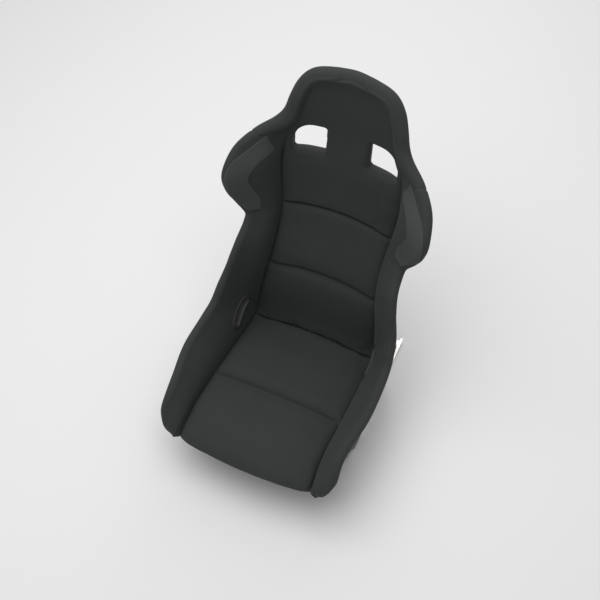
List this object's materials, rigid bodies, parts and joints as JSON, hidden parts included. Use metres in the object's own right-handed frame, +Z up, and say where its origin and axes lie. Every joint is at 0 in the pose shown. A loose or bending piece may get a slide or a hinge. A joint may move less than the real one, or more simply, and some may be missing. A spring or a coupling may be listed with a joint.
{
  "type": "racing seat",
  "caption": "Fixed-back racing bucket seat with padded side bolsters, shoulder wings and belt slots, on side brackets and slide rails with a release bar.",
  "frame": {"origin": "centre of the four floor bolt holes, at floor level", "axes": "+Z up, the seat faces -Y, +X is the sitter's left"},
  "size_m": [0.536, 0.6773, 0.9259],
  "materials": {
    "shell": "moulded glass fibre laminate with a black gel coat, satin gloss, fine orange peel",
    "cover_fabric": "black velour knit over foam, short nap, sewn seams",
    "panel_fabric": "dark grey ribbed fabric inlay",
    "hook_tape": "woven hook tape",
    "bezel_plastic": "fine grained moulded plastic",
    "trim_rubber": "extruded edge trim, matt",
    "insert_brass": "turned, threaded",
    "bracket_steel": "black powder coat, fine texture, worn at the edges",
    "rail_steel": "zinc plated pressed steel",
    "glide_plastic": "natural acetal",
    "bar_steel": "black powder coated bar",
    "grip_rubber": "ribbed sleeve",
    "latch_steel": "zinc plated stamping",
    "fastener_steel": "zinc plated"
  },
  "bodies": {
    "floor_rails": {"lower_rail_left": "rail_steel", "lower_rail_right": "rail_steel", "rail_stops": "fastener_steel"},
    "seat": {"shell": "shell", "shell_bosses": "shell", "base_cushion": "cover_fabric", "back_cushion": "cover_fabric", "head_pad": "cover_fabric", "head_roll": "cover_fabric", "bolster_left": "cover_fabric", "bolster_right": "cover_fabric", "wing_panel_left": "panel_fabric", "wing_panel_right": "panel_fabric", "base_hook_strips": "hook_tape", "back_hook_strips": "hook_tape", "lap_slot_bezel_left": "bezel_plastic", "lap_slot_bezel_right": "bezel_plastic", "shoulder_slot_trim_left": "trim_rubber", "shoulder_slot_trim_right": "trim_rubber", "threaded_inserts": "insert_brass", "side_bracket_left": "bracket_steel", "side_bracket_right": "bracket_steel", "shell_bolts": "fastener_steel", "shell_bolt_washers": "fastener_steel", "upper_rail_left": "rail_steel", "upper_rail_right": "rail_steel", "foot_bolts": "fastener_steel", "foot_nuts": "fastener_steel", "glides_left": "glide_plastic", "glides_right": "glide_plastic", "pivot_pins": "fastener_steel", "pin_clips": "fastener_steel", "return_springs": "fastener_steel"},
    "release": {"release_bar": "bar_steel", "bar_grip": "grip_rubber", "latch_pawl_left": "latch_steel", "latch_pawl_right": "latch_steel"}
  },
  "joints": [
    {"name": "seat_slide", "type": "slide", "parent": "floor_rails", "child": "seat", "axis": [0, 1, 0], "range_m": [-0.045, 0.085]},
    {"name": "bar_lift", "type": "hinge", "parent": "seat", "child": "release", "pos_m": [0, -0.06, 0.027], "axis": [-1, 0, 0], "range_deg": [0, 9], "stiffness_Nm_per_rad": 8, "springref_deg": -20.05}
  ]
}
